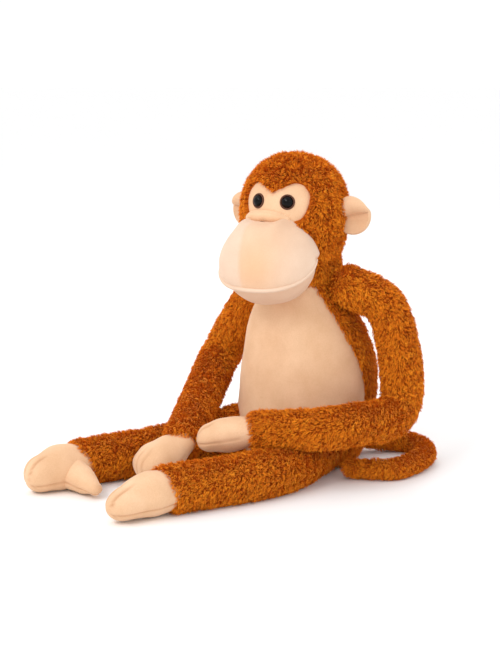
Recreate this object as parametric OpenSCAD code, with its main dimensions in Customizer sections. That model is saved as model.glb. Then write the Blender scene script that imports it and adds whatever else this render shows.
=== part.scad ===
// Long-limbed stuffed monkey, sitting with its hands between its legs.
// The monkey faces -Y and its left side is +X. The seat is flat at Z = 0.
// Every stuffed part is a sewn cover (a shell) around its own fibre filling.

/* [Torso] */
// Widest radius of the belly
torso_r = 84; // [80:1:86]
// Radius of the flat seat
seat_r = 60; // [50:1:64]
// Radius of the stuffed neck ball
neck_r = 34; // [28:1:38]

/* [Head] */
// Radius of the head
head_r = 68; // [62:1:72]
// How far the head is turned to its left, in degrees
face_turn = 14; // [0:1:20]
// Widest radius of the muzzle
muzzle_r = 63; // [56:1:66]
// Radius of an ear
ear_r = 25; // [20:1:30]
// Diameter of the eye's brown rim
eye_d = 21; // [16:1:24]

/* [Limbs] */
// Radius of an arm
arm_r = 22; // [18:1:23]
// Radius of a hand
hand_r = 23; // [20:1:24]
// Radius of a leg
leg_r = 27.5; // [24:0.5:28]
// Radius of a foot
foot_r = 27; // [24:0.5:28]
// Length of a foot from the ankle
foot_len = 102; // [80:1:110]
// Radius of the tail
tail_r = 11; // [9:0.5:12]

/* [Fabric] */
// Thickness of the long-pile fabric
pile_t = 3; // [2:0.5:4]
// Thickness of the smooth fabric
smooth_t = 2; // [1:0.5:3]
// Gap between parts that bend against each other
gap = 0.6; // [0.4:0.1:1]

/* [Hidden] */
$fn = 64;

rust = "#b9651b";
peach = "#f5c795";

// Centres of the seams and bends in the sitting pose
neck_c = [0, -2, 262];
head_c = [2, -14, 348];
left_shoulder = [70, 18, 247];
left_bow = [120, 44, 212];
left_elbow = [146, 36, 92];
left_rest = [139, -68, 82];
left_wrist = [60, -150, 77];
left_fingers = [18, -182, 66];
right_shoulder = [-70, 18, 247];
right_bow = [-121, 20, 195];
right_elbow = [-158, -4, 114];
right_wrist = [-26, -204, 59];
right_fingers = [-22, -243, 35];
left_hip = [56, -38, 28];
left_knee = [91, -148, 28];
left_ankle = [61, -281, 28];
left_toes = [46, -380, 28];
right_hip = [-56, -38, 28];
right_knee = [-88, -156, 28];
right_ankle = [-112, -280, 28];
right_toes = [-122, -373, 28];
tail_root = [30, 80, 22];
tail_bend = [84, 132, 14];
tail_far = [141, 100, 14];
tail_turn = [161, 16, 14];
tail_end = [118, -27, 14];

// Torso outline as [radius, height], a pear with a flat seat and a round neck end
torso_outline = [
    [0, 0], [seat_r, 0], [74, 12], [81, 32], [torso_r, 60], [torso_r, 95], [80, 130],
    [73, 165], [64, 198], [56, 222], [47, 242], [34, 256], [18, 262], [0, 262]
];
// Muzzle outline as [radius, height above its middle], rounder above than below
muzzle_outline = [
    [0, -58], [22, -55], [34, -46], [46, -36], [56, -24], [muzzle_r - 1, -10], [muzzle_r, 4],
    [58, 19], [47, 33], [32, 43], [16, 49], [0, 50]
];
muzzle_reach = 64;
muzzle_drop = 62;
muzzle_c = head_c + turned(0, muzzle_reach, -muzzle_drop);
lip_h = -26;
welt_ring_r = 56;
welt_r = 3;
welt_sweep = 200;
// Chin and muzzle keep this far from the neck so that the head can turn
chin_clear = 60;
mask_lobe_r = 18;
eye_half = 22;
eye_h = 12;
eye_r = 7;
eye_seat = 1;
post_r = 2.5;
post_len = 12;
washer_r = 7;
washer_t = 2;
washer_depth = 7;
nose_r = 8;
nose_half = 24;
nose_h = -8;
nose_gap = 0.3;
ear_turn = 8;
ear_h = -8;
ear_gap = 3;
ear_reach = 16;
cap_n = 6;
side_seam_slope = 0.3;
side_seam_h = 190;
leg_spread = 25;
hip_reach = 90;
wrist_gap = 2;
wrist_cap = 18;
left_hand_len = 71;
right_hand_len = 74;
sole_h = 12;
toe_r = 12;
toe_drop = 14;
// Larger than anything that a cutting block has to reach
far = 700;

// A point that lies side mm to the monkey's left, ahead mm in front and up mm above, on the head
function turned(side, ahead, up) = [
    side * cos(face_turn) + ahead * sin(face_turn),
    side * sin(face_turn) - ahead * cos(face_turn),
    up
];
function unit(v) = v / norm(v);

// The outline moved inwards by t, away from its foot, its top and its widest side
function shrunk(outline, t) =
    let (low = outline[0][1], high = outline[len(outline) - 1][1])
    [for (p = outline) [max(p[0] - t, 0), min(max(p[1], low + t), high - t)]];

// One end of a pad: an elliptical cap from the axis out to full radius
function cap(z, depth, r) = [for (i = [0 : cap_n]) [
    r * sin(90 * i / cap_n), z + depth * (1 - cos(90 * i / cap_n))
]];
function pad_outline(z0, cap0, z1, cap1, r) = concat(
    cap(z0, cap0, r),
    [for (i = [cap_n : -1 : 0]) let (p = cap(0, cap1, r)[i]) [p[0], z1 - p[1]]]
);

// Puts children that stand along +Z at point a, pointing at b
module aim(a, b) {
    d = b - a;
    translate(a)
        rotate([0, acos(d[2] / norm(d)), atan2(d[1], d[0])])
            children();
}

// A round stuffed pad along a line, from start to stop, with capped ends
module pad(start, cap0, stop, cap1, r) {
    rotate_extrude()
        polygon(pad_outline(start, cap0, stop, cap1, r));
}

// A straight limb from a to b. It starts and stops at distances from a, and inset makes its filling
module limb(a, b, start, cap0, stop, cap1, r, inset = 0) {
    aim(a, b)
        pad(start + inset, cap0, stop - inset, cap1, r - inset);
}

// A limb that bows at its middle, with a ball over the bend
module bowed_limb(a, mid, b, start, cap0, past, cap1, r, inset = 0) {
    first = norm(mid - a);
    second = norm(b - mid);
    bend = acos(unit(mid - a) * unit(b - mid));
    union() {
        aim(a, mid)
            rotate_extrude()
                polygon(concat(cap(start + inset, cap0, r - inset), [[r - inset, first], [0, first]]));
        translate(mid)
            sphere(r = (r - inset) / cos(bend / 2) + 0.2);
        aim(mid, b)
            rotate_extrude()
                polygon(concat(
                    [[0, 0], [r - inset, 0]],
                    [for (i = [cap_n : -1 : 0])
                        let (p = cap(0, cap1, r - inset)[i]) [p[0], second + past - inset - p[1]]]
                ));
    }
}

// Space that a thigh needs in the torso over its whole spread, open below
module hip_space(hip, knee, side) {
    r = leg_r + gap;
    heading = atan2(knee[1] - hip[1], knee[0] - hip[0]);
    translate([hip[0], hip[1], -1])
        linear_extrude(height = hip[2] + r + 1)
            hull() {
                circle(r = r, $fn = 32);
                for (a = [0, side * leg_spread])
                    rotate(heading + a)
                        translate([hip_reach, 0])
                            circle(r = r, $fn = 32);
            }
}

// Space around the joints of the torso
module torso_joints() {
    translate(neck_c)
        sphere(r = neck_r + gap);
    translate(left_shoulder)
        sphere(r = arm_r + gap);
    translate(right_shoulder)
        sphere(r = arm_r + gap);
    hip_space(left_hip, left_knee, 1);
    hip_space(right_hip, right_knee, -1);
    translate(tail_root)
        sphere(r = tail_r + gap);
}

module torso_solid(inset) {
    rotate_extrude()
        polygon(shrunk(torso_outline, inset));
}

// Everything behind the sloping side seam
module behind_side_seam() {
    tilt = atan(side_seam_slope);
    translate([0, side_seam_slope * side_seam_h, 0])
        rotate([tilt, 0, 0])
            translate([-far / 2, 0, -far / 2])
                cube(far);
}

module torso_back_cover() {
    color(rust)
        difference() {
            intersection() {
                torso_solid(0);
                behind_side_seam();
            }
            torso_solid(pile_t);
            torso_joints();
        }
}

module belly_panel() {
    color(peach)
        difference() {
            torso_solid(0);
            behind_side_seam();
            torso_solid(pile_t);
            torso_joints();
        }
}

module torso_filling() {
    color("white")
        difference() {
            torso_solid(pile_t);
            torso_joints();
        }
}

module neck_cover() {
    color(rust)
        difference() {
            translate(neck_c)
                sphere(r = neck_r);
            translate(neck_c)
                sphere(r = neck_r - pile_t);
        }
}

module neck_filling() {
    color("white")
        translate(neck_c)
            sphere(r = neck_r - pile_t);
}

// Places children in the head's turned frame: +X its left, -Y ahead
module on_head(side = 0, ahead = 0, up = 0) {
    translate(head_c + turned(side, ahead, up))
        rotate([0, 0, face_turn])
            children();
}

module neck_space() {
    translate(neck_c)
        sphere(r = neck_r + gap);
}

// Outline of the mask, two lobes over the eyes that join between them and over the muzzle
module mask_cutter() {
    on_head(0, 0, eye_h) {
        for (side = [-1, 1])
            translate([side * eye_half, 0, 0])
                rotate([90, 0, 0])
                    cylinder(r = mask_lobe_r, h = far);
        translate([-eye_half, -far, nose_h - eye_h - nose_r])
            cube([2 * eye_half, far, mask_lobe_r + nose_r]);
    }
}

function eye_angle() = asin(eye_half / head_r);

// Places children at an eye: +Z points out of the head, and Z = 0 is the mask's surface
module at_eye(side) {
    on_head(0, 0, eye_h)
        rotate([0, 0, side * eye_angle()])
            translate([0, -head_r, 0])
                rotate([90, 0, 0])
                    children();
}

module eye_post_space(side) {
    at_eye(side)
        translate([0, 0, -post_len])
            cylinder(r = post_r, h = post_len + eye_seat);
}

module washer_space(side) {
    at_eye(side)
        translate([0, 0, -washer_depth - washer_t])
            cylinder(r = washer_r, h = washer_t);
}

module head_cover() {
    color(rust)
        difference() {
            translate(head_c)
                sphere(r = head_r);
            translate(head_c)
                sphere(r = head_r - pile_t);
            neck_space();
            mask_cutter();
        }
}

module face_mask() {
    color(peach)
        difference() {
            intersection() {
                translate(head_c)
                    sphere(r = head_r);
                mask_cutter();
            }
            translate(head_c)
                sphere(r = head_r - pile_t);
            eye_post_space(1);
            eye_post_space(-1);
        }
}

module head_filling() {
    color("white")
        difference() {
            translate(head_c)
                sphere(r = head_r - pile_t);
            neck_space();
            eye_post_space(1);
            eye_post_space(-1);
            washer_space(1);
            washer_space(-1);
        }
}

module muzzle_solid(inset) {
    difference() {
        translate(muzzle_c)
            rotate_extrude()
                polygon(shrunk(muzzle_outline, inset));
        translate(head_c)
            sphere(r = head_r);
        translate(neck_c)
            sphere(r = chin_clear);
    }
}

module below_lip() {
    translate(muzzle_c + [-far / 2, -far / 2, lip_h - far])
        cube(far);
}

module muzzle_cover() {
    color(peach)
        difference() {
            muzzle_solid(0);
            muzzle_solid(smooth_t);
            below_lip();
            nose_solid();
        }
}

module chin_panel() {
    color(peach)
        intersection() {
            difference() {
                muzzle_solid(0);
                muzzle_solid(smooth_t);
            }
            below_lip();
        }
}

module muzzle_filling() {
    color("white")
        difference() {
            muzzle_solid(smooth_t);
            nose_solid();
        }
}

// A rolled welt around the front of the mouth
module lip_welt() {
    color(peach)
        difference() {
            translate(muzzle_c + [0, 0, lip_h])
                rotate([0, 0, face_turn - 90 - welt_sweep / 2])
                    rotate_extrude(angle = welt_sweep)
                        translate([welt_ring_r, 0])
                            circle(r = welt_r);
            muzzle_solid(0);
            translate(neck_c)
                sphere(r = chin_clear);
        }
}

// The soft roll between the mask and the muzzle
module nose_solid() {
    on_head(-nose_half, head_r - 3, nose_h)
        rotate([0, 90, 0])
            pad(0, 6, 2 * nose_half, 6, nose_r);
}

module nose_pad() {
    color(peach)
        difference() {
            nose_solid();
            translate(head_c)
                sphere(r = head_r + nose_gap);
        }
}

// Places children at an ear's middle, with its face along the local Z axis
module ear_frame(side) {
    translate(head_c + [0, 0, ear_h])
        rotate([0, 0, face_turn + side * ear_turn])
            translate([side * (head_r + ear_reach), 0, 0])
                rotate([90, 0, 0])
                    children();
}

module ear_disc() {
    rotate_extrude()
        polygon([
            [0, -5], [ear_r - 11, -5], [ear_r - 3, -3.5], [ear_r, 0],
            [ear_r - 3, 3.5], [ear_r - 11, 5], [0, 5]
        ]);
}

// An ear is a padded disc of two layers, open-edged where it meets the head
module ear_layer(side, front) {
    difference() {
        ear_frame(side)
            difference() {
                ear_disc();
                translate([-far / 2, -far / 2, front ? -far : 0])
                    cube(far);
            }
        translate(head_c)
            sphere(r = head_r + ear_gap);
    }
}

module left_ear_front() {
    color(peach)
        ear_layer(1, true);
}
module left_ear_back() {
    color(peach)
        ear_layer(1, false);
}
module right_ear_front() {
    color(peach)
        ear_layer(-1, true);
}
module right_ear_back() {
    color(peach)
        ear_layer(-1, false);
}

// A safety eye: a domed button in front of the mask, on a post that a washer holds inside
module eye(side) {
    at_eye(side) {
        translate([0, 0, eye_seat])
            rotate_extrude()
                polygon([
                    [0, 0], [eye_r, 0], [eye_r - 0.6, 2.4], [eye_r - 2.4, 4.4], [eye_r - 4.6, 5.5], [0, 5.8]
                ]);
        translate([0, 0, -post_len])
            cylinder(r = post_r, h = post_len + eye_seat);
    }
}

module left_eye() {
    color("black")
        eye(1);
}
module right_eye() {
    color("black")
        eye(-1);
}

// A felt ring that the eye sits in
module eye_rim(side) {
    at_eye(side)
        difference() {
            cylinder(d1 = eye_d, d2 = eye_d - 3, h = 3);
            translate([0, 0, eye_seat])
                cylinder(r = eye_r + 0.1, h = 3);
            translate([0, 0, -1])
                cylinder(r = post_r + 0.1, h = 3);
        }
}

module left_eye_rim() {
    color("#4a2b1c")
        eye_rim(1);
}
module right_eye_rim() {
    color("#4a2b1c")
        eye_rim(-1);
}

module left_eye_washer() {
    color("ivory")
        difference() {
            washer_space(1);
            eye_post_space(1);
        }
}
module right_eye_washer() {
    color("ivory")
        difference() {
            washer_space(-1);
            eye_post_space(-1);
        }
}

// Each length of an arm or leg as a solid. With inset it shrinks to its filling
module left_upper_arm(inset) {
    bowed_limb(left_shoulder, left_bow, left_elbow, -arm_r, arm_r, arm_r, arm_r, arm_r, inset);
}
module left_forearm(inset) {
    bowed_limb(left_elbow, left_rest, left_wrist, arm_r + gap, 20, -wrist_gap, wrist_cap, arm_r, inset);
}
module right_upper_arm(inset) {
    bowed_limb(right_shoulder, right_bow, right_elbow, -arm_r, arm_r, arm_r, arm_r, arm_r, inset);
}
module right_forearm(inset) {
    reach = norm(right_wrist - right_elbow);
    limb(right_elbow, right_wrist, arm_r + gap, 18, reach - wrist_gap, wrist_cap, arm_r, inset);
}
module left_hand(inset) {
    limb(left_wrist, left_fingers, wrist_gap, wrist_cap, left_hand_len, 18, hand_r, inset);
}
module right_hand(inset) {
    limb(right_wrist, right_fingers, wrist_gap, wrist_cap, right_hand_len, 18, hand_r, inset);
}
module left_thigh(inset) {
    limb(left_hip, left_knee, -leg_r, leg_r, norm(left_knee - left_hip) + leg_r, leg_r, leg_r, inset);
}
module right_thigh(inset) {
    limb(right_hip, right_knee, -leg_r, leg_r, norm(right_knee - right_hip) + leg_r, leg_r, leg_r, inset);
}
module left_shin(inset) {
    limb(left_knee, left_ankle, leg_r + gap, 15, norm(left_ankle - left_knee) - wrist_gap, 10, leg_r, inset);
}
module right_shin(inset) {
    limb(right_knee, right_ankle, leg_r + gap, 15, norm(right_ankle - right_knee) - wrist_gap, 10, leg_r, inset);
}

// A foot is a stuffed pad with a big toe. The left one lies along the foot, the right one stands out
module left_foot(inset) {
    limb(left_ankle, left_toes, wrist_gap, 10, foot_len, 22, foot_r, inset);
    big_toe(left_ankle + [14, -28, 0], left_ankle + [4, -98, 0], inset);
}
module right_foot(inset) {
    limb(right_ankle, right_toes, wrist_gap, 10, foot_len, 22, foot_r, inset);
    big_toe(right_ankle + [8, -28, 0], right_ankle + [70, -44, 0], inset);
}
module big_toe(root, tip, inset) {
    translate([0, 0, -toe_drop])
        limb(root, tip, 8, 4, norm(tip - root), 10, toe_r, inset);
}

module below_sole_seam() {
    translate([-far / 2, -far, -far + sole_h])
        cube(far);
}

module left_upper_arm_cover() {
    color(rust)
        difference() {
            left_upper_arm(0);
            left_upper_arm(pile_t);
        }
}
module left_upper_arm_filling() {
    color("white")
        left_upper_arm(pile_t);
}
module left_forearm_cover() {
    color(rust)
        difference() {
            left_forearm(0);
            left_forearm(pile_t);
        }
}
module left_forearm_filling() {
    color("white")
        left_forearm(pile_t);
}
module left_hand_cover() {
    color(peach)
        difference() {
            left_hand(0);
            left_hand(smooth_t);
        }
}
module left_hand_filling() {
    color("white")
        left_hand(smooth_t);
}
module right_upper_arm_cover() {
    color(rust)
        difference() {
            right_upper_arm(0);
            right_upper_arm(pile_t);
        }
}
module right_upper_arm_filling() {
    color("white")
        right_upper_arm(pile_t);
}
module right_forearm_cover() {
    color(rust)
        difference() {
            right_forearm(0);
            right_forearm(pile_t);
        }
}
module right_forearm_filling() {
    color("white")
        right_forearm(pile_t);
}
module right_hand_cover() {
    color(peach)
        difference() {
            right_hand(0);
            right_hand(smooth_t);
        }
}
module right_hand_filling() {
    color("white")
        right_hand(smooth_t);
}
module left_thigh_cover() {
    color(rust)
        difference() {
            left_thigh(0);
            left_thigh(pile_t);
        }
}
module left_thigh_filling() {
    color("white")
        left_thigh(pile_t);
}
module left_shin_cover() {
    color(rust)
        difference() {
            left_shin(0);
            left_shin(pile_t);
        }
}
module left_shin_filling() {
    color("white")
        left_shin(pile_t);
}
module left_foot_top() {
    color(peach)
        difference() {
            left_foot(0);
            left_foot(smooth_t);
            below_sole_seam();
        }
}
module left_foot_sole() {
    color(peach)
        intersection() {
            difference() {
                left_foot(0);
                left_foot(smooth_t);
            }
            below_sole_seam();
        }
}
module left_foot_filling() {
    color("white")
        left_foot(smooth_t);
}
module right_thigh_cover() {
    color(rust)
        difference() {
            right_thigh(0);
            right_thigh(pile_t);
        }
}
module right_thigh_filling() {
    color("white")
        right_thigh(pile_t);
}
module right_shin_cover() {
    color(rust)
        difference() {
            right_shin(0);
            right_shin(pile_t);
        }
}
module right_shin_filling() {
    color("white")
        right_shin(pile_t);
}
module right_foot_top() {
    color(peach)
        difference() {
            right_foot(0);
            right_foot(smooth_t);
            below_sole_seam();
        }
}
module right_foot_sole() {
    color(peach)
        intersection() {
            difference() {
                right_foot(0);
                right_foot(smooth_t);
            }
            below_sole_seam();
        }
}
module right_foot_filling() {
    color("white")
        right_foot(smooth_t);
}

// The tail lies on the floor in a loop of three stuffed lengths
module tail_base(inset) {
    limb(tail_root, tail_bend, -tail_r, tail_r, norm(tail_bend - tail_root) + tail_r, tail_r, tail_r, inset);
}
module tail_middle(inset) {
    limb(tail_bend, tail_far, tail_r + gap, 7, norm(tail_far - tail_bend) + tail_r, tail_r, tail_r, inset);
}
module tail_tip(inset) {
    bowed_limb(tail_far, tail_turn, tail_end, tail_r + gap, 7, tail_r, tail_r, tail_r, inset);
}

module tail_base_cover() {
    color(rust)
        difference() {
            tail_base(0);
            tail_base(pile_t);
        }
}
module tail_base_filling() {
    color("white")
        tail_base(pile_t);
}
module tail_middle_cover() {
    color(rust)
        difference() {
            tail_middle(0);
            tail_middle(pile_t);
        }
}
module tail_middle_filling() {
    color("white")
        tail_middle(pile_t);
}
module tail_tip_cover() {
    color(rust)
        difference() {
            tail_tip(0);
            tail_tip(pile_t);
        }
}
module tail_tip_filling() {
    color("white")
        tail_tip(pile_t);
}

torso_back_cover();
belly_panel();
torso_filling();
neck_cover();
neck_filling();
head_cover();
face_mask();
nose_pad();
muzzle_cover();
lip_welt();
chin_panel();
head_filling();
muzzle_filling();
left_ear_front();
left_ear_back();
right_ear_front();
right_ear_back();
left_eye();
right_eye();
left_eye_rim();
right_eye_rim();
left_eye_washer();
right_eye_washer();
left_upper_arm_cover();
left_upper_arm_filling();
left_forearm_cover();
left_forearm_filling();
left_hand_cover();
left_hand_filling();
right_upper_arm_cover();
right_upper_arm_filling();
right_forearm_cover();
right_forearm_filling();
right_hand_cover();
right_hand_filling();
left_thigh_cover();
left_thigh_filling();
left_shin_cover();
left_shin_filling();
left_foot_top();
left_foot_sole();
left_foot_filling();
right_thigh_cover();
right_thigh_filling();
right_shin_cover();
right_shin_filling();
right_foot_top();
right_foot_sole();
right_foot_filling();
tail_base_cover();
tail_base_filling();
tail_middle_cover();
tail_middle_filling();
tail_tip_cover();
tail_tip_filling();
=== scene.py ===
# Plush monkey sitting on the floor: stuffed sleeves with long pile, smooth face, hands and feet
import math

import bmesh
import bpy
import numpy as np
from mathutils import Matrix, Vector, noise
from mathutils.kdtree import KDTree


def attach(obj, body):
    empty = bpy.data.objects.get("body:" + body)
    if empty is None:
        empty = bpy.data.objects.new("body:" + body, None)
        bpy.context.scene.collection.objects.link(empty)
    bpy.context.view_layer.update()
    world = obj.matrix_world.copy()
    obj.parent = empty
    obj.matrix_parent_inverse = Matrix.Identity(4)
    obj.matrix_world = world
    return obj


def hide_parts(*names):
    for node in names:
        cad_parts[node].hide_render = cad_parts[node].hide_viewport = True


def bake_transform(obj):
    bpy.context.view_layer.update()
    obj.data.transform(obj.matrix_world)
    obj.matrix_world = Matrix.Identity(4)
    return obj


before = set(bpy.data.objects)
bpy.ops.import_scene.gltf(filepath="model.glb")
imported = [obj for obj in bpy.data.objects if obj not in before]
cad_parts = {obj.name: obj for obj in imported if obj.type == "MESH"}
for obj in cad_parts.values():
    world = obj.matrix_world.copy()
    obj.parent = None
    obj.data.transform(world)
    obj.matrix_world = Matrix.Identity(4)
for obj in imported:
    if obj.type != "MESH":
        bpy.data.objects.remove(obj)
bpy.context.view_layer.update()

mm = 0.001

# where the seams and bends lie, in millimetres
bones = {
    "neck": (0, -2, 262), "head": (2, -14, 348),
    "leftShoulder": (70, 18, 247), "leftBow": (120, 44, 212), "leftElbow": (146, 36, 92),
    "leftRest": (139, -68, 82), "leftWrist": (60, -150, 77), "leftFingers": (18, -182, 66),
    "rightShoulder": (-70, 18, 247), "rightBow": (-121, 20, 195), "rightElbow": (-158, -4, 114),
    "rightWrist": (-21, -200, 54), "rightFingers": (-28, -242, 30),
    "leftHip": (56, -38, 28), "leftKnee": (91, -148, 28),
    "leftAnkle": (61, -281, 28), "leftToes": (46, -380, 28),
    "rightHip": (-56, -38, 28), "rightKnee": (-88, -156, 28),
    "rightAnkle": (-112, -280, 28), "rightToes": (-122, -373, 28),
    "tailRoot": (30, 80, 22), "tailBend": (84, 132, 14), "tailFar": (141, 100, 14),
    "tailTurn": (161, 16, 14), "tailEnd": (118, -27, 14),
}
faceTurn = math.radians(14)  # the head looks towards its own left


def bone(name):
    return Vector(bones[name])


def onHead(side, ahead, up):
    # a point on the head: to its own left, ahead of it and above its middle
    c, s = math.cos(faceTurn), math.sin(faceTurn)
    return bone("head") + Vector((side * c + ahead * s, side * s - ahead * c, up))


def newMaterial(name):
    mat = bpy.data.materials.new(name)
    mat.use_nodes = True
    return mat, mat.node_tree.nodes["Principled BSDF"]


def plainMaterial(name, colour, roughness, specular=0.5):
    mat, bsdf = newMaterial(name)
    bsdf.inputs["Base Color"].default_value = (*colour, 1)
    bsdf.inputs["Roughness"].default_value = roughness
    bsdf.inputs["Specular IOR Level"].default_value = specular
    return mat, bsdf


def plushMaterial(name, look):
    # short nap cloth: soft mottled colour, fine nap bump and a velvet sheen
    mat, bsdf = newMaterial(name)
    tree = mat.node_tree
    link = tree.links.new
    coords = tree.nodes.new("ShaderNodeTexCoord")
    cloudy = tree.nodes.new("ShaderNodeTexNoise")
    cloudy.inputs["Scale"].default_value = look["cloudScale"]
    cloudy.inputs["Detail"].default_value = 5
    nap = tree.nodes.new("ShaderNodeTexNoise")
    nap.inputs["Scale"].default_value = look["napScale"]
    nap.inputs["Detail"].default_value = 3
    tones = tree.nodes.new("ShaderNodeValToRGB")
    tones.color_ramp.elements[0].position = 0.32
    tones.color_ramp.elements[0].color = (*look["deep"], 1)
    tones.color_ramp.elements[1].position = 0.7
    tones.color_ramp.elements[1].color = (*look["light"], 1)
    mixed = tree.nodes.new("ShaderNodeMath")
    mixed.operation = "MULTIPLY_ADD"
    mixed.inputs[1].default_value = look["napShare"]
    link(coords.outputs["Object"], cloudy.inputs["Vector"])
    link(coords.outputs["Object"], nap.inputs["Vector"])
    link(nap.outputs["Fac"], mixed.inputs[0])
    shifted = tree.nodes.new("ShaderNodeMath")
    shifted.operation = "MULTIPLY_ADD"
    shifted.inputs[1].default_value = 1 - look["napShare"]
    shifted.inputs[2].default_value = 0
    link(cloudy.outputs["Fac"], shifted.inputs[0])
    link(shifted.outputs[0], mixed.inputs[2])
    link(mixed.outputs[0], tones.inputs["Fac"])
    colour = tones.outputs["Color"]
    # a colour layer can darken the cloth: the muzzle's panel tones, and painted shade in the pressed grooves on
    # the peach cloth
    if "toneLayer" in look:
        tone = tree.nodes.new("ShaderNodeAttribute")
        tone.attribute_name = look["toneLayer"]
        blendTone = tree.nodes.new("ShaderNodeMix")
        blendTone.data_type = "RGBA"
        blendTone.blend_type = "MULTIPLY"
        blendTone.inputs["B"].default_value = (*look["toneTint"], 1)
        link(tone.outputs["Fac"], blendTone.inputs["Factor"])
        link(colour, blendTone.inputs["A"])
        colour = blendTone.outputs["Result"]
    link(colour, bsdf.inputs["Base Color"])
    bump = tree.nodes.new("ShaderNodeBump")
    bump.inputs["Strength"].default_value = look["bump"]
    bump.inputs["Distance"].default_value = 0.0006
    link(mixed.outputs[0], bump.inputs["Height"])
    link(bump.outputs["Normal"], bsdf.inputs["Normal"])
    bsdf.inputs["Roughness"].default_value = 0.92
    bsdf.inputs["Specular IOR Level"].default_value = 0.2
    bsdf.inputs["Sheen Weight"].default_value = look["sheen"]
    bsdf.inputs["Sheen Roughness"].default_value = 0.45
    bsdf.inputs["Sheen Tint"].default_value = (*look["sheenTint"], 1)
    return mat


peachLook = {"cloudScale": 22, "napScale": 900, "napShare": 0.35,
             "deep": (0.69, 0.41, 0.23), "light": (0.87, 0.58, 0.37),
             "bump": 0.35, "sheen": 0.2, "sheenTint": (1, 0.9, 0.78)}
# the peach cloth is darkened by its crease layer: painted shade in the pressed grooves of hands and feet
peach = plushMaterial("peachPlush", {**peachLook, "toneLayer": "paintedCreaseShade", "toneTint": (0.66, 0.50, 0.40)})
muzzleLook = {**peachLook, "toneLayer": "panelTone", "toneTint": (1.0, 0.83, 0.66),
              "deep": (0.72, 0.505, 0.365), "light": (0.80, 0.605, 0.465)}
muzzlePeach = plushMaterial("muzzlePlush", muzzleLook)
skinLook = {"cloudScale": 40, "napScale": 700, "napShare": 0.5,
            "deep": (0.42, 0.09, 0.005), "light": (0.62, 0.15, 0.006),
            "bump": 0.8, "sheen": 0.1, "sheenTint": (1, 0.6, 0.3)}
backing = plushMaterial("pileBacking", skinLook)

# the first three tones are for the roots of the blades, the rest for their tips; the darker roots are painted
# shade down in the pile
pileTones = {
    "pileRoot1": (0.60, 0.14, 0.006), "pileRoot2": (0.68, 0.165, 0.007), "pileRoot3": (0.75, 0.19, 0.008),
    "pileTip1": (0.76, 0.195, 0.008), "pileTip2": (0.82, 0.225, 0.009), "pileTip3": (0.88, 0.26, 0.011),
    "pileTip4": (0.93, 0.30, 0.014), "pileTip5": (0.97, 0.35, 0.02),
}
pileMaterials = []
for toneName, tone in pileTones.items():
    mat, bsdf = plainMaterial(toneName, tone, 0.75, 0.12)
    bsdf.inputs["Sheen Weight"].default_value = 0.05
    bsdf.inputs["Sheen Tint"].default_value = (1, 0.7, 0.35, 1)
    pileMaterials.append(mat)
print("materials ready")


def smoothPath(points, radii, step):
    # a soft curve through the points, with a station every step millimetres
    pts = [Vector(p) for p in points]
    ends = [pts[0] * 2 - pts[1]] + pts + [pts[-1] * 2 - pts[-2]]
    rads = [radii[0]] + list(radii) + [radii[-1]]
    out = []
    for i in range(1, len(ends) - 2):
        a, b, c, d = ends[i - 1:i + 3]
        ra, rb, rc, rd = rads[i - 1:i + 3]
        n = max(2, int((c - b).length / step))
        for k in range(n):
            t = k / n
            w = (-t ** 3 + 2 * t * t - t, 3 * t ** 3 - 5 * t * t + 2,
                 -3 * t ** 3 + 4 * t * t + t, t ** 3 - t * t)
            p = (a * w[0] + b * w[1] + c * w[2] + d * w[3]) * 0.5
            out.append((p, (ra * w[0] + rb * w[1] + rc * w[2] + rd * w[3]) * 0.5))
    out.append((pts[-1], radii[-1]))
    return out


def lofted(stations, capStart, capEnd, sides, flat=1.0):
    # a stuffed tube through the stations, closed by rounded ends. flat squeezes its height
    bm = bmesh.new()
    full = []
    first, last = stations[0], stations[-1]
    t0 = (stations[1][0] - first[0]).normalized()
    t1 = (last[0] - stations[-2][0]).normalized()
    steps = 6
    for k in range(steps, 0, -1):
        a = math.pi / 2 * k / steps
        full.append((first[0] - t0 * capStart * math.sin(a), first[1] * max(math.cos(a), 0.06), t0))
    for i, (p, r) in enumerate(stations):
        before, after = stations[max(i - 1, 0)][0], stations[min(i + 1, len(stations) - 1)][0]
        full.append((p, r, (after - before).normalized()))
    for k in range(1, steps + 1):
        a = math.pi / 2 * k / steps
        full.append((last[0] + t1 * capEnd * math.sin(a), last[1] * max(math.cos(a), 0.06), t1))
    previous = ring = None
    for p, r, t in full:
        side = t.cross(Vector((0, 0, 1)))
        side.normalize()
        top = side.cross(t)
        m = Matrix((
            (side.x * r, top.x * r * flat, t.x, p.x), (side.y * r, top.y * r * flat, t.y, p.y),
            (side.z * r, top.z * r * flat, t.z, p.z), (0, 0, 0, 1)))
        if ring is None:
            bmesh.ops.create_circle(bm, cap_ends=True, segments=sides, radius=1, matrix=m)
            ring = list(bm.edges)
        else:
            grown = bmesh.ops.extrude_edge_only(bm, edges=ring)["geom"]
            verts = [g for g in grown if isinstance(g, bmesh.types.BMVert)]
            ring = [g for g in grown if isinstance(g, bmesh.types.BMEdge)]
            bmesh.ops.transform(bm, matrix=m @ previous.inverted(), verts=verts)
        previous = m
    bmesh.ops.holes_fill(bm, edges=ring, sides=0)
    bmesh.ops.recalc_face_normals(bm, faces=bm.faces)
    return bm


def turnedForm(profile, segments):
    # a round form from its outline of radius and height
    bm = bmesh.new()
    verts = [bm.verts.new((r, 0, z)) for r, z in profile]
    edges = [bm.edges.new(pair) for pair in zip(verts, verts[1:])]
    bmesh.ops.spin(bm, geom=verts + edges, cent=(0, 0, 0), axis=(0, 0, 1), angle=2 * math.pi,
                   steps=segments, use_merge=True)
    bmesh.ops.remove_doubles(bm, verts=bm.verts, dist=0.01)
    bmesh.ops.recalc_face_normals(bm, faces=bm.faces)
    return bm


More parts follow.
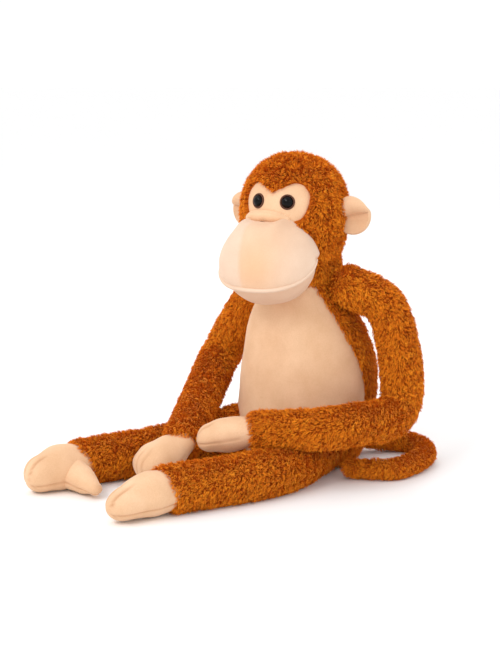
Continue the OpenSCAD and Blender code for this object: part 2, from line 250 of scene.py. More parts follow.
def lumpy(bm, amount, size, seed):
    # loose stuffing: soft rises and hollows
    bm.normal_update()
    shift = Vector((seed, seed * 2, 3))
    moves = [(v, v.normal * noise.noise(v.co / size + shift) * amount) for v in bm.verts]
    for v, move in moves:
        v.co += move


def piece(name, bm, material, levels=0):
    # the finished mesh in metres, with its object at the origin
    bmesh.ops.scale(bm, vec=(mm, mm, mm), verts=bm.verts)
    mesh = bpy.data.meshes.new(name)
    bm.to_mesh(mesh)
    bm.free()
    for v in mesh.vertices:
        v.co.z = max(v.co.z, 0.0005)  # nothing sinks through the floor
    for p in mesh.polygons:
        p.use_smooth = True
    mesh.materials.append(material)
    obj = bpy.data.objects.new(name, mesh)
    bpy.context.collection.objects.link(obj)
    if levels:
        sub = obj.modifiers.new("smooth", "SUBSURF")
        sub.levels = sub.render_levels = levels
    return obj


def pileOn(name, skin, look):
    # tufts of pile on the skin: every blade leans towards its tuft's tip
    mesh = skin.data
    mesh.calc_loop_triangles()
    n = len(mesh.vertices)
    co = np.empty(n * 3)
    mesh.vertices.foreach_get("co", co)
    co = co.reshape(-1, 3)
    normals = np.empty(n * 3)
    mesh.vertex_normals.foreach_get("vector", normals)
    normals = normals.reshape(-1, 3)
    tris = np.empty(len(mesh.loop_triangles) * 3, dtype=np.int64)
    mesh.loop_triangles.foreach_get("vertices", tris)
    tris = tris.reshape(-1, 3)
    a, b, c = co[tris[:, 0]], co[tris[:, 1]], co[tris[:, 2]]
    area = np.linalg.norm(np.cross(b - a, c - a), axis=1) / 2
    rng = np.random.default_rng(look["seed"])

    def scatter(count):
        pick = rng.choice(len(area), count, p=area / area.sum())
        u, v = rng.random(count), rng.random(count)
        turn = u + v > 1
        u[turn], v[turn] = 1 - u[turn], 1 - v[turn]
        w = 1 - u - v
        t = tris[pick]
        p = co[t[:, 0]] * w[:, None] + co[t[:, 1]] * u[:, None] + co[t[:, 2]] * v[:, None]
        q = normals[t[:, 0]] * w[:, None] + normals[t[:, 1]] * u[:, None] + normals[t[:, 2]] * v[:, None]
        q /= np.linalg.norm(q, axis=1)[:, None]
        if "where" in look:
            keep = look["where"](p / mm)
            p, q = p[keep], q[keep]
        return p, q

    blades = int(look["density"] * area.sum() * 1e6)
    tufts = max(4, int(blades / look["perTuft"]))
    tp, tn = scatter(tufts)
    tree = KDTree(len(tp))
    for i, p in enumerate(tp):
        tree.insert(p, i)
    tree.balance()
    p, nrm = scatter(blades)
    own = np.array([tree.find(x)[1] for x in p])
    if callable(look["flow"]):
        flow = look["flow"](tp / mm)
    else:
        flow = np.tile(np.array(look["flow"], float), (len(tp), 1))
    flow = flow - tn * (flow * tn).sum(1)[:, None]
    swirl = np.stack([
        np.sin(tp[:, 1] * 210 + tp[:, 2] * 130) + np.sin(tp[:, 0] * 330 - tp[:, 2] * 90),
        np.sin(tp[:, 2] * 190 - tp[:, 0] * 160) + np.sin(tp[:, 1] * 290 + tp[:, 0] * 70),
        np.sin(tp[:, 0] * 230 + tp[:, 1] * 110) + np.sin(tp[:, 2] * 310 - tp[:, 1] * 60)], axis=1) * 0.35
    # each tuft leans its own way, and its blades gather towards its tip
    wild = rng.normal(size=tp.shape)
    lean = flow * look["lay"] + swirl * look["swirl"] + wild * look["messy"]
    lean -= tn * (lean * tn).sum(1)[:, None]
    direction = tn + lean
    direction /= np.linalg.norm(direction, axis=1)[:, None]
    tuftLong = look["long"] * mm * rng.uniform(0.75, 1.15, len(tp))
    tuftTip = tp + direction * tuftLong[:, None]
    bladeLong = tuftLong[own] * rng.uniform(0.7, 1.1, len(p))
    straight = nrm + lean[own] + rng.normal(size=p.shape) * 0.16
    straight /= np.linalg.norm(straight, axis=1)[:, None]
    tip = p + straight * bladeLong[:, None]
    gather = rng.uniform(look["gather"] - 0.2, look["gather"] + 0.15, len(p))[:, None]
    tip = tip * (1 - gather) + (tuftTip[own] + rng.normal(size=p.shape) * 0.0006) * gather
    mid = p + nrm * (bladeLong * 0.42)[:, None] + (tip - p) * 0.30
    base = p - nrm * 0.0006  # rooted just under the skin
    along = tip - base
    along /= np.linalg.norm(along, axis=1)[:, None]
    side = np.cross(along, nrm) + rng.normal(size=p.shape) * 0.15
    side /= np.linalg.norm(side, axis=1)[:, None]
    roll = rng.uniform(-1.0, 1.0, len(p))[:, None]
    side = side * np.cos(roll) + np.cross(along, side) * np.sin(roll)
    half = (look["wide"] * mm / 2 * rng.uniform(0.7, 1.25, len(p)))[:, None]
    verts = np.empty((len(p), 5, 3))
    verts[:, 0], verts[:, 1] = base - side * half, base + side * half
    verts[:, 2], verts[:, 3] = mid + side * half * 0.8, mid - side * half * 0.8
    verts[:, 4] = tip
    verts[:, :, 2] = np.maximum(verts[:, :, 2], 0.0004)
    count = len(p)
    made = bpy.data.meshes.new(name)
    made.vertices.add(count * 5)
    made.vertices.foreach_set("co", verts.reshape(-1))
    start = np.arange(count)[:, None] * 5
    corners = np.concatenate([start + np.array([[0, 1, 2, 3]]), start + np.array([[3, 2, 4]])], axis=1)
    made.loops.add(count * 7)
    made.loops.foreach_set("vertex_index", corners.reshape(-1))
    made.polygons.add(count * 2)
    starts = (np.arange(count)[:, None] * 7 + np.array([[0, 4]])).reshape(-1)
    made.polygons.foreach_set("loop_start", starts)
    # each tuft has its tone, and roots are painted darker than tips as shade down in the pile
    patch = (np.sin(tp[:, 0] * 75 + 1) + np.sin(tp[:, 1] * 64 + 2) + np.sin(tp[:, 2] * 58)) / 3
    tuftShade = rng.normal(size=len(tp))[own] * 0.2
    shade = np.clip(patch[own] * 0.18 + tuftShade + rng.normal(size=count) * 0.2 + 0.5, 0, 0.999)
    rootTone = (shade * 3).astype(int)
    tipTone = 3 + (shade * 5).astype(int)
    slots = np.stack([rootTone, tipTone], axis=1).reshape(-1).astype(np.int32)
    made.polygons.foreach_set("material_index", slots)
    made.update(calc_edges=True)
    made.polygons.foreach_set("use_smooth", np.ones(count * 2, dtype=bool))
    for m in pileMaterials:
        made.materials.append(m)
    obj = bpy.data.objects.new(name, made)
    bpy.context.collection.objects.link(obj)
    print("pile", name, count, "blades")
    return obj


# density is in blades to a square millimetre
pile = {"density": 1.15, "perTuft": 9, "long": 8.5, "wide": 0.85, "lay": 0.75,
        "swirl": 0.45, "messy": 0.26, "gather": 0.27, "flow": (0, 0, -1)}

# the torso is one pear, cut in two along its side seam
torso = {"outline": [(0.5, 1), (30, 1), (56, 1.5), (67, 4), (76, 12), (84, 32), (89, 60), (90.5, 95), (89, 130),
                     (81.5, 165), (70, 198), (59, 222), (50, 242), (42, 255), (30, 264), (14, 268), (0.5, 268)],
         "seamSlope": 0.3, "seamHeight": 190, "seamDepth": 2.2, "seamWide": 9, "hem": 5, "swell": 3.0,
         "backLean": 15, "leanHeight": 125, "leanSpread": 70, "dipHeight": 92, "dip": 70, "dipSpan": 70}
seamNormal = Vector((0, 1, torso["seamSlope"])).normalized()
seamAt = Vector((0, torso["seamSlope"] * torso["seamHeight"], 0))


def seamSide(p):
    # distance behind the side seam's plane
    return (p - seamAt).dot(seamNormal)


def seamDip(height):
    # low down the side seam runs forward, round the front of the hips
    t = min(max((torso["dipHeight"] - height) / torso["dipSpan"], 0), 1)
    return torso["dip"] * t * t * (3 - 2 * t)


def torsoHalf(keepBack):
    bm = turnedForm(torso["outline"], 72)
    bmesh.ops.subdivide_edges(bm, edges=bm.edges, cuts=1, use_grid_fill=True, smooth=0.6)
    for v in bm.verts:
        v.co.y += seamDip(v.co.z)
    geom = list(bm.verts) + list(bm.edges) + list(bm.faces)
    bmesh.ops.bisect_plane(bm, geom=geom, dist=0.001, plane_co=seamAt, plane_no=seamNormal,
                           clear_inner=keepBack, clear_outer=not keepBack)
    bm.normal_update()
    for v in bm.verts:
        if v.co.z > 6:  # the flat base stays flat
            away = abs(seamSide(v.co))
            v.co += v.normal * (torso["swell"] * (1 - math.exp(-away / torso["seamWide"])) - torso["seamDepth"])
    for v in bm.verts:
        lean = torso["backLean"] * math.exp(-((v.co.z - torso["leanHeight"]) / torso["leanSpread"]) ** 2)
        v.co.y += lean - seamDip(v.co.z)
    lumpy(bm, 1.6, 34, 3)
    rim = [e for e in bm.edges if e.is_boundary]
    turned = bmesh.ops.extrude_edge_only(bm, edges=rim)["geom"]
    for v in [g for g in turned if isinstance(g, bmesh.types.BMVert)]:
        v.co -= Vector((v.co.x, v.co.y, 0)).normalized() * torso["hem"]
    return bm


torsoBack = piece("torsoBack", torsoHalf(True), backing)
belly = piece("belly", torsoHalf(False), peach)
for o, nodes in ((torsoBack, ["torso_back_cover", "torso_filling"]), (belly, ["belly_panel"])):
    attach(o, "torso")
    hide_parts(*nodes)
torsoPile = {**pile, "seed": 11, "density": pile["density"] * 0.77, "wide": pile["wide"] * 1.1,
             "where": lambda p: p[:, 2] > 7}
backPile = pileOn("torsoPile", torsoBack, torsoPile)
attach(backPile, "torso")
print("torso done")

head = {"outline": [(0.5, -82), (26, -80), (40, -74), (50, -66), (58, -55), (62.5, -42), (65, -28), (66.5, -14),
                    (67, 0), (66, 14), (61, 30), (52, 44), (40, 55), (26, 63), (12, 67), (0.5, 68)]}
bm = turnedForm(head["outline"], 72)
bmesh.ops.translate(bm, vec=bone("head"), verts=bm.verts)
lumpy(bm, 1.6, 30, 5)
headSkin = piece("headSkin", bm, backing)
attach(headSkin, "head")
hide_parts("head_cover", "head_filling", "left_eye_washer", "right_eye_washer")

# half of the mask's outline round its middle, as side and up
mask = {"middle": (3.7, 8), "radius": 67.3, "rise": 0.9, "turnIn": 4,
        "outline": [(0, 17), (12, 23), (26, 30), (38, 25), (44.5, 12), (43.5, -3), (38, -16),
                    (28, -27), (0, -32)]}


def maskReach(angle):
    # how far the mask reaches from its middle in this direction
    pts = mask["outline"] + [(-x, y) for x, y in reversed(mask["outline"][1:-1])]
    polar = sorted((math.atan2(y, x) % (2 * math.pi), math.hypot(x, y)) for x, y in pts)
    polar = [(polar[-1][0] - 2 * math.pi, polar[-1][1])] + polar + [(polar[0][0] + 2 * math.pi, polar[0][1])]
    angle %= 2 * math.pi
    for (a0, r0), (a1, r1) in zip(polar, polar[1:]):
        if a0 <= angle <= a1:
            t = (angle - a0) / (a1 - a0)
            return r0 + (r1 - r0) * t
    return polar[0][1]


reachTable = np.array([maskReach(math.radians(d)) for d in range(360)])


def inMask(p, margin):
    # which points lie inside the mask's outline, and ahead of the head's middle
    q = p - np.array(bone("head"))
    c, s = math.cos(faceTurn), math.sin(faceTurn)
    sideways = q[:, 0] * c + q[:, 1] * s
    ahead = q[:, 0] * s - q[:, 1] * c
    x, y = sideways - mask["middle"][0], q[:, 2] - mask["middle"][1]
    angle = (np.degrees(np.arctan2(y, x)) % 360).astype(int) % 360
    return (ahead > 0) & (np.hypot(x, y) < reachTable[angle] + margin)


# no pile under the mask, nor behind the muzzle
crown = {**pile, "seed": 12, "lay": 0.45, "density": pile["density"] * 0.95,
         "where": lambda p: ~inMask(p, -1.0) & ((p[:, 2] > 300) | (p[:, 1] > -40))}
headPile = pileOn("headPile", headSkin, crown)
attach(headPile, "head")

# the mask: a round sheet of rings, laid on the head inside its outline
bm = bmesh.new()
rings = 14
bmesh.ops.create_circle(bm, cap_ends=True, segments=72, radius=1)
for k in range(rings - 1):
    cap = [f for f in bm.faces if len(f.verts) > 4]
    bmesh.ops.inset_individual(bm, faces=cap, thickness=0.93 / rings, use_even_offset=False)
for f in [f for f in bm.faces if len(f.verts) > 4]:
    bmesh.ops.poke(bm, faces=[f])
for v in bm.verts:
    reach = math.hypot(v.co.x, v.co.y)
    angle = math.atan2(v.co.y, v.co.x)
    out = maskReach(angle) * min(reach, 1)
    x, y = mask["middle"][0] + math.cos(angle) * out, mask["middle"][1] + math.sin(angle) * out
    r = mask["radius"] + mask["rise"] * 2.2 * (1 - min(reach, 1) ** 6)
    v.co = onHead(x, math.sqrt(max(r * r - x * x - y * y, 1)), y)
bmesh.ops.recalc_face_normals(bm, faces=bm.faces)
rim = [e for e in bm.edges if e.is_boundary]
turned = bmesh.ops.extrude_edge_only(bm, edges=rim)["geom"]
for v in [g for g in turned if isinstance(g, bmesh.types.BMVert)]:
    v.co += (bone("head") - v.co).normalized() * mask["turnIn"]
faceMask = piece("faceMask", bm, peach, levels=1)
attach(faceMask, "head")
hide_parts("face_mask")
print("head done")

muzzle = {"reach": 64, "drop": 62, "wide": 70, "deep": 60, "high": 50, "low": 58,
          "lip": -34, "lipRise": 33, "cornerRise": 5.5}
muzzleAt = onHead(0, muzzle["reach"], -muzzle["drop"])
# how wide the muzzle is at each height, as a share of its full width
muzzleSide = [(0, 50), (0.24, 49.6), (0.44, 47), (0.60, 41), (0.77, 30), (0.90, 16), (0.98, 2), (1.0, -10),
              (0.975, -24), (0.88, -37), (0.71, -47), (0.48, -54), (0.24, -57.4), (0, -58)]
muzzleCurve = smoothPath([(w * 100, 0, h) for w, h in muzzleSide], [1] * len(muzzleSide), 1)
muzzleHeights = [p.z for p, r in reversed(muzzleCurve)]
muzzleWidths = [max(p.x, 0) / 100 for p, r in reversed(muzzleCurve)]


def muzzleWidth(height):
    return float(np.interp(height, muzzleHeights, muzzleWidths))


def onMuzzle(side, ahead, up):
    c, s = math.cos(faceTurn), math.sin(faceTurn)
    return muzzleAt + Vector((side * c + ahead * s, side * s - ahead * c, up))


def lipHeight(angle):
    # the lip is lowest in the middle and climbs towards the corners of the mouth
    return muzzle["lip"] + muzzle["lipRise"] * (1 - math.cos(angle)) ** 1.56


bm = bmesh.new()
bmesh.ops.create_uvsphere(bm, u_segments=150, v_segments=96, radius=1)
tone = bm.verts.layers.float.new("panelTone")
for v in bm.verts:
    d = v.co.normalized()
    angle = math.atan2(d.x, -d.y)
    up = d.z
    high = muzzle["high"] if up > 0 else muzzle["low"]
    height = up * high
    width = muzzleWidth(height)
    side, ahead = muzzle["wide"] * math.sin(angle) * width, muzzle["deep"] * math.cos(angle) * width ** 0.75
    lip = lipHeight(angle) if abs(angle) < math.pi / 2 else 5
    below = lip - height
    if below > 0:  # the chin sits behind the lip
        tuck = 1 - 0.10 * (1 - math.exp(-below / 3)) - 0.0022 * below
        side, ahead = side * tuck, ahead * tuck
    groove = math.exp(-(below / 2.2) ** 2) * 2.0
    length = math.hypot(side, ahead) or 1
    side, ahead = side * (1 - groove / max(length, 20)), ahead * (1 - groove / max(length, 20))
    # front panel between two upright seams
    left, right = -13 - 0.1 * height, 44 + 0.1 * height
    inside = 0
    if ahead > 0:
        inside = 1 / (1 + math.exp(-(side - left) / 1.2)) * 1 / (1 + math.exp((side - right) / 9))
    glow = 0.55 + 0.45 * math.exp(-((side - 12) / 28) ** 2 - ((height + 5) / 30) ** 2)
    v[tone] = inside * glow if below < 0 else 0.35
    if below < 0 and ahead > 0:
        dent = 1.5 * math.exp(-((side - left) / 1.3) ** 2) + 0.5 * math.exp(-((side - right) / 1.6) ** 2)
        length = math.hypot(side, ahead) or 1
        side, ahead = side * (1 - dent / length), ahead * (1 - dent / length)
    # the side panels rise beside the nose
    top = min(max((up - 0.45) / 0.4, 0), 1)
    height += muzzle["cornerRise"] * math.exp(-((abs(side + 4) - 29) / 8) ** 2) * top
    v.co = onMuzzle(side, ahead, height)
bmesh.ops.recalc_face_normals(bm, faces=bm.faces)
lumpy(bm, 1.2, 26, 9)
muzzleForm = piece("muzzle", bm, muzzlePeach, levels=1)
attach(muzzleForm, "head")
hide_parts("muzzle_cover", "muzzle_filling", "chin_panel")

# the rolled welt of the mouth
welt = []
for k in range(-44, 45):
    angle = math.radians(k * 2.1)
    h = lipHeight(angle)
    width = muzzleWidth(h)
    side = (muzzle["wide"] - 1.6) * math.sin(angle) * width
    ahead = (muzzle["deep"] - 1.6) * math.cos(angle) * width ** 0.75
    welt.append((onMuzzle(side, ahead, h), 3.3 - 1.8 * abs(k / 44) ** 4))
lipWelt = piece("lipWelt", lofted(welt, 4, 4, sides=14), muzzlePeach, levels=1)
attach(lipWelt, "head")
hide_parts("lip_welt")

# the soft roll under the eyes, with two folds along it, and a pinched slit below whose shade is painted by a
# dark tube
nose = {"side": -5, "up": -6, "half": 28, "drop": 4, "radius": 9, "reach": 68.5,
        "folds": (48, 92), "foldDepth": 1.1, "slit": 13, "slitReach": 80.0}
roll = []
for k in range(-24, 25):
    t = k / 24
    x, y = nose["side"] + t * nose["half"], nose["up"] - t * t * nose["drop"]
    ahead = math.sqrt(nose["reach"] ** 2 - x * x - y * y)
    roll.append((onHead(x, ahead, y), nose["radius"] - abs(t) ** 5 * 2.5))
bm = lofted(roll, 6, 6, sides=56, flat=0.95)
for v in bm.verts:
    at, r = min(roll, key=lambda station: (station[0] - v.co).length)
    out = v.co - at
    if out.length > 1:
        inward = bone("head") - at
        inward.z = 0
        inward.normalize()
        turn = math.degrees(math.atan2(out.z, -out.dot(inward)))
        depth = sum(math.exp(-((turn - fold) / 9) ** 2) for fold in nose["folds"]) * nose["foldDepth"]
        share = 1 - ((at - roll[24][0]).length / nose["half"]) ** 2  # the folds fade towards both ends
        v.co -= out.normalized() * depth * max(share, 0)
lumpy(bm, 0.9, 12, 2)
noseRoll = piece("noseRoll", bm, peach, levels=1)
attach(noseRoll, "head")
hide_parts("nose_pad")
# a thin dark brown tube under the roll: painted shadow in the pinched slit
paintedSlitShadow, bsdf = plainMaterial("paintedSlitShadow", (0.10, 0.035, 0.018), 0.95)
slit = []
for k in range(-10, 11):
    t = k / 10
    x, y = nose["side"] + 2 + t * nose["slit"], nose["up"] - nose["radius"] + 1.3 - 2.2 * t * t
    ahead = math.sqrt(nose["slitReach"] ** 2 - x * x - y * y)
    slit.append((onHead(x, ahead, y), 1.9 - 1.3 * t * t))
noseSlit = piece("noseSlit", lofted(slit, 2, 2, sides=10), paintedSlitShadow, levels=1)
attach(noseSlit, "head")
print("muzzle done")

# domed eyes in felt rims. reach is from the middle of the head
eyes = {"radius": 7.7, "rim": 10.2, "half": 20.9, "middle": 3.7, "up": 13, "reach": 69.0}
glossBlack, bsdf = plainMaterial("eyeGloss", (0.002, 0.0015, 0.0015), 0.1, 0.15)
rimBrown, bsdf = plainMaterial("eyeRimBrown", (0.11, 0.045, 0.028), 0.8, 0.2)
for sideName, sign in (("left", 1), ("right", -1)):
    x = eyes["middle"] + sign * eyes["half"]
    y = eyes["up"]
    spot = onHead(x, math.sqrt(eyes["reach"] ** 2 - x * x - y * y), y)
    out = (spot - bone("head")).normalized()
    place = Matrix.Translation(spot) @ out.to_track_quat("Z", "Y").to_matrix().to_4x4()
    r, edge = eyes["radius"], eyes["rim"]
    bm = turnedForm([(r * 0.9, -3), (r, 0.2), (r * 0.93, 2.2), (r * 0.72, 4.0),
                     (r * 0.42, 5.2), (0.01, 5.6)], 48)
    bmesh.ops.transform(bm, matrix=place, verts=bm.verts)
    eye = piece(sideName + "Eye", bm, glossBlack, levels=1)
    bm = turnedForm([(r * 0.9, -2.5), (r * 0.98, 0.8), (r + 0.9, 1.7), (edge - 0.7, 1.2),
                     (edge, 0), (edge - 0.3, -2.5), (r * 0.9, -2.5)], 48)
    bmesh.ops.transform(bm, matrix=place, verts=bm.verts)
    rim = piece(sideName + "EyeRim", bm, rimBrown, levels=1)
    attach(eye, "head")
    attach(rim, "head")
    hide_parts(sideName + "_eye")
    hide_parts(sideName + "_eye_rim")

# cupped round ears
ear = {"radius": 25, "thick": 5, "reach": 81, "turn": 8, "drop": -8, "cup": 6,
       "flapDepth": 11, "flapMiddle": 14, "flapHalf": 11.5, "creaseRise": 0.2}
for sideName, sign in (("left", 1), ("right", -1)):
    a = faceTurn + sign * math.radians(ear["turn"])
    outward = Vector((math.cos(a), math.sin(a), 0)) * sign
    forward = Vector((math.sin(a), -math.cos(a), 0))
    middle = bone("head") + Vector((0, 0, ear["drop"])) + outward * ear["reach"]
    bm = bmesh.new()
    bmesh.ops.create_circle(bm, cap_ends=True, segments=88, radius=1)
    for k in range(17):
        cap = [f for f in bm.faces if len(f.verts) > 4]
        bmesh.ops.inset_individual(bm, faces=cap, thickness=0.055, use_even_offset=False)
    for v in bm.verts:
        d = math.hypot(v.co.x, v.co.y)
        x, z = v.co.x * ear["radius"], v.co.y * ear["radius"]
        cup = -ear["cup"] * (1 - d * d)
        # the top of the ear folds forward over a crease
        share = 1 - ((z - ear["flapMiddle"] - ear["creaseRise"] * x) / ear["flapHalf"]) ** 2
        cup += ear["flapDepth"] * math.sqrt(max(share, 0)) * (1 - 0.5 * d ** 4)
        v.co = middle + outward * x + Vector((0, 0, z)) + forward * cup
    bmesh.ops.recalc_face_normals(bm, faces=bm.faces)
    earForm = piece(sideName + "Ear", bm, peach)
    thick = earForm.modifiers.new("thick", "SOLIDIFY")
    thick.thickness = ear["thick"] * mm
    thick.offset = 0
    soft = earForm.modifiers.new("soft", "SUBSURF")
    soft.levels = soft.render_levels = 1
    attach(earForm, sideName + "_ear")
    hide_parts(sideName + "_ear_front", sideName + "_ear_back")
print("ears done")


def bendOver(objects, joint, before, after, reach, bodies):
    # bakes each piece's placement into its mesh
    for o in objects:
        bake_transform(o)


def sleeve(name, points, radii, bodies, joint, look, nodes, slant=0):
    # one arm or leg: a lumpy tube with its pile. slant tips the cut end
    stations = smoothPath(points, radii, 6)
    bm = lofted(stations, 20, 4, sides=30)
    end = stations[-1][0]
    d = (end - stations[-4][0]).normalized()
    for v in bm.verts:
        q = v.co - end
        if q.length < 60:
            v.co += d * slant * q.z / 27 * min(max((q.dot(d) + 50) / 50, 0), 1)
    lumpy(bm, 1.6, 26, look["seed"])
    skin = piece(name, bm, backing)
    coat = pileOn(name + "Pile", skin, look)
    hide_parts(*nodes)
    bendOver((skin, coat), *joint, 24, bodies)


def alongPath(points):
    # pile lies along the limb, towards its free end
    pts = np.array([tuple(p) for p in points], float)
    sag = np.array([0, 0, -0.6])

    def flow(p):
        best = np.full(len(p), 1e9)
        out = np.zeros_like(p)
        for a, b in zip(pts, pts[1:]):
            ab = b - a
            t = np.clip(((p - a) @ ab) / (ab @ ab), 0, 1)
            d = np.linalg.norm(p - (a + t[:, None] * ab), axis=1)
            near = d < best
            best[near] = d[near]
            out[near] = ab / np.linalg.norm(ab)
        out = out + sag
        return out / np.linalg.norm(out, axis=1)[:, None]
    return flow


def limbPile(points, seed, share):
    return {**pile, "flow": alongPath(points), "seed": seed, "density": pile["density"] * share}


arms = {"left": {"through": ("Shoulder", "Bow", "Elbow", "Rest", "Wrist"),
                 "radii": (23, 23, 23, 22, 20), "seed": 21},
        "right": {"through": ("Shoulder", "Bow", "Elbow", "Wrist"),
                  "radii": (23, 23, 23, 21), "seed": 22}}
armNodes = ("_upper_arm_cover", "_upper_arm_filling", "_forearm_cover", "_forearm_filling")
legNodes = ("_thigh_cover", "_thigh_filling", "_shin_cover", "_shin_filling")
# the sleeve of a leg ends past the ankle, and its cut end slants
legs = {"left": {"past": 15, "slant": 7, "seed": 31}, "right": {"past": 4, "slant": 17, "seed": 32}}
hipRaise = Vector((0, 6, 8))
for sideName, look in arms.items():
    arm = [bone(sideName + n) for n in look["through"]]
    sleeve(sideName + "Sleeve", arm, look["radii"], [sideName + "_upper_arm", sideName + "_forearm"],
           [sideName + n for n in ("Elbow", "Shoulder", "Wrist")], limbPile(arm, look["seed"], 0.88),
           [sideName + n for n in armNodes])
for sideName, look in legs.items():
    leg = [bone(sideName + n) for n in ("Hip", "Knee", "Ankle")]
    heel = leg[2] + (leg[2] - leg[1]).normalized() * look["past"]
    sleeve(sideName + "Leg", [leg[0] + hipRaise, leg[1], heel], [36, 27.5, 26],
           [sideName + "_thigh", sideName + "_shin"], [sideName + n for n in ("Knee", "Hip", "Ankle")],
           limbPile(leg, look["seed"], 0.96),
           [sideName + n for n in legNodes], look["slant"])
print("sleeves done")


def localAxes(d):
    # side, ahead and up axes of a hand or foot that points along d
    side = d.cross(Vector((0, 0, 1))).normalized()
    return side, d, side.cross(d)


def pressed(bm, start, d, grooves):
    # presses thread lines and soft folds in, and paints shade into them as deep as they are pressed. grooves
    # gives the depth at a side, ahead and up from start
    side, along, top = localAxes(d)
    bm.normal_update()
    shade = bm.verts.layers.float.new("paintedCreaseShade")
    moves = []
    for v in bm.verts:
        q = v.co - start
        depth = grooves(q.dot(side), q.dot(along), q.dot(top))
        # painted shade: the deeper the groove, the darker its colour
        v[shade] = min(depth / 3, 0.8)
        moves.append((v, v.normal * depth))
    for v, move in moves:
        v.co -= move


def line(value, middle, half):
    # 1 on the line and nothing beyond about twice half from it
    return math.exp(-((value - middle) / half) ** 2)


def easeIn(value, start, full):
    t = min(max((value - start) / (full - start), 0), 1)
    return t * t * (3 - 2 * t)


hands = {"left": {"long": 74, "radii": (17, 20.5, 25, 21), "flat": 0.92},
         "right": {"long": 72, "radii": (18, 22, 33, 30), "flat": 0.84}}
# each foot tapers and sinks towards its tip
feet = {"left": {"radii": (19, 23.5, 28, 21.5), "long": 74, "sink": 5},
        "right": {"radii": (19, 23.5, 30, 25), "long": 68, "sink": 4}}
bigToe = {"root": (4, -34, -5), "tip": (64, -42, -15), "radii": (23, 17, 9)}


def handGrooves(q, u, h):
    fingers = sum(line(q, at, 1.6) for at in (-9, 2, 12)) * easeIn(u, 34, 56) * easeIn(h, 2, 8) * 1.4
    seam = line(h, -3, 1.0) * easeIn(u, 8, 20) * 1.4
    return fingers + seam


def footGrooves(q, u, h):
    toes = (line(q, -8, 1.8) + line(q, 6, 1.8)) * easeIn(u, 60, 80) * easeIn(h, -14, -4) * 2.1
    seam = line(h, -10 - 0.06 * u, 1.1) * easeIn(u, 4, 16) * 2.0
    return toes + seam


for sideName in ("left", "right"):
    look = hands[sideName]
    wrist, fingers = bone(sideName + "Wrist"), bone(sideName + "Fingers")
    d = (fingers - wrist).normalized()
    long = look["long"]
    points = [wrist - d * 8, wrist + d * 6, wrist + d * long * 0.5, wrist + d * (long - 18)]
    bm = lofted(smoothPath(points, look["radii"], 2.2), 6, 18, sides=72, flat=look["flat"])
    lumpy(bm, 2.0, 22, 4)
    pressed(bm, wrist, d, handGrooves)
    hand = piece(sideName + "Hand", bm, peach, levels=1)
    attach(hand, sideName + "_hand")
    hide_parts(sideName + "_hand_cover", sideName + "_hand_filling")
    look = feet[sideName]
    ankle, toes = bone(sideName + "Ankle"), bone(sideName + "Toes")
    d = (toes - ankle).normalized()
    sink = Vector((0, 0, -look["sink"]))
    points = [ankle - d * 8, ankle + d * 6, ankle + d * 40, ankle + d * look["long"] + sink]
    bm = lofted(smoothPath(points, look["radii"], 2.2), 6, 27, sides=80, flat=0.98)
    lumpy(bm, 2.4, 26, 6)
    pressed(bm, ankle, d, footGrooves)
    foot = piece(sideName + "Foot", bm, peach, levels=1)
    footParts = [foot]
    if sideName == "right":
        root, tip = ankle + Vector(bigToe["root"]), ankle + Vector(bigToe["tip"])
        bm = lofted(smoothPath([root, (root + tip) / 2, tip], bigToe["radii"], 2.2), 8, 9, sides=48)
        lumpy(bm, 1.6, 16, 8)
        pressed(bm, root, (tip - root).normalized(), lambda q, u, h: line(h, -5, 1.0) * 1.8)
        footParts.append(piece("rightBigToe", bm, peach, levels=1))
    for o in footParts:
        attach(o, sideName + "_foot")
    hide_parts(sideName + "_foot_top", sideName + "_foot_sole", sideName + "_foot_filling")
print("hands and feet done")

# a short collar between torso and head, mostly hidden
collar = [(0.5, 236), (30, 238), (44, 246), (50, 258), (52, 270), (50, 284), (40, 292), (0.5, 294)]
neckSkin = piece("neckSkin", turnedForm(collar, 48), backing)
neckPile = pileOn("neckPile", neckSkin, {**pile, "seed": 41, "long": 7})
for o in (neckSkin, neckPile):
    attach(o, "neck")
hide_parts("neck_cover", "neck_filling")

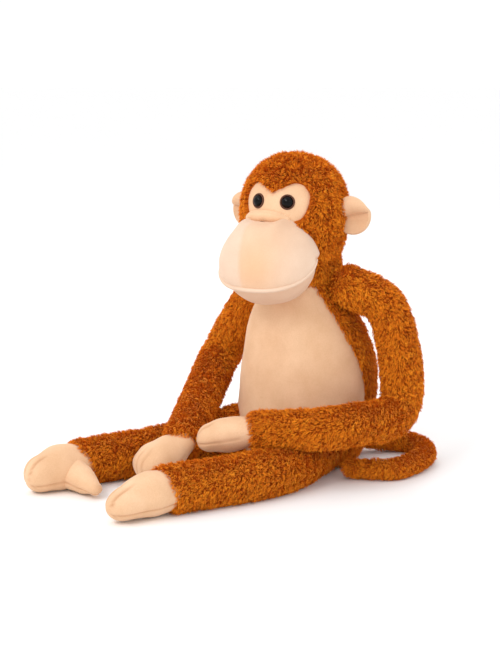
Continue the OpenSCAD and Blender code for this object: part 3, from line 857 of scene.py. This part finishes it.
# the tail is one path, cut in two between its bends
tail = {"through": ("tailRoot", "tailBend", "tailFar", "tailTurn", "tailEnd"),
        "radii": (11.5, 11, 10.5, 10.5, 8.5), "long": 6.8, "bendReach": 16}
stations = smoothPath([bone(n) for n in tail["through"]], tail["radii"], 5)
middle = (bone("tailBend") + bone("tailFar")) / 2
near = min(range(len(stations)), key=lambda i: (stations[i][0] - middle).length)
for name, part, bodies, joint, nodes in (
    ("tailNear", stations[:near + 1], ["tail_base", "tail_middle"], ("tailBend", "tailRoot", "tailFar"),
     ["tail_base_cover", "tail_base_filling", "tail_middle_cover", "tail_middle_filling"]),
    ("tailFarPart", stations[near:], ["tail_middle", "tail_tip"], ("tailFar", "tailBend", "tailTurn"),
     ["tail_tip_cover", "tail_tip_filling"]),
):
    bm = lofted(part, 8, 8, sides=20)
    lumpy(bm, 0.8, 18, 7)
    skin = piece(name, bm, backing)
    look = {**pile, "long": tail["long"], "flow": alongPath([p for p, r in part[::6]]), "seed": 51 + near % 3}
    coat = pileOn(name + "Pile", skin, look)
    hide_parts(*nodes)
    bendOver((skin, coat), *joint, tail["bendReach"], bodies)
print("tail done")

# a white room, in metres and watts
studio = {"floor": 30, "key": 11, "front": 12, "frontSize": 0.8, "fill": 3, "back": 9, "sky": 1.03}
bpy.ops.mesh.primitive_circle_add(vertices=96, radius=studio["floor"], fill_type="NGON", location=(0, 0, 0))
floor = bpy.context.object
floor.name = "floor"
white, bsdf = plainMaterial("studioFloor", (0.97, 0.97, 0.97), 0.8)
floor.data.materials.append(white)
world = bpy.data.worlds.new("studio")
world.use_nodes = True
sky = world.node_tree.nodes["Background"]
sky.inputs["Color"].default_value = (1, 1, 1, 1)
sky.inputs["Strength"].default_value = studio["sky"]
bpy.context.scene.world = world


def lamp(name, place, aim, power, size):
    data = bpy.data.lights.new(name, "AREA")
    data.energy = power
    data.shape = "DISK"
    data.size = size
    obj = bpy.data.objects.new(name, data)
    obj.location = place
    obj.rotation_euler = (Vector(aim) - Vector(place)).to_track_quat("-Z", "Y").to_euler()
    bpy.context.collection.objects.link(obj)


lamp("keyLight", (-0.6, -1.9, 2.4), (0, -0.05, 0.2), studio["key"], 1.2)
lamp("frontLight", (0.4, -2.0, 1.77), (0, -0.08, 0.3), studio["front"], studio["frontSize"])
lamp("fillLight", (2.4, -0.4, 1.2), (0, 0, 0.2), studio["fill"], 1.5)
lamp("backLight", (-1.4, 1.6, 2.0), (0, 0, 0.2), studio["back"], 1.2)

bpy.context.scene.view_settings.view_transform = "Standard"

view = {"lens": 79.13, "place": (1.3426, -1.4386, 0.538), "aim": (-0.048, -0.048, 0.1736)}
camData = bpy.data.cameras.new("camera")
camData.lens = view["lens"]
camData.sensor_width = 36
camera = bpy.data.objects.new("camera", camData)
camera.location = view["place"]
camera.rotation_euler = (Vector(view["aim"]) - camera.location).to_track_quat("-Z", "Y").to_euler()
bpy.context.collection.objects.link(camera)
bpy.context.scene.camera = camera

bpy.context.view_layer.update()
shown = [o for o in bpy.data.objects if o.type == "MESH" and not o.hide_render]
print("faces", sum(len(o.data.polygons) for o in shown))
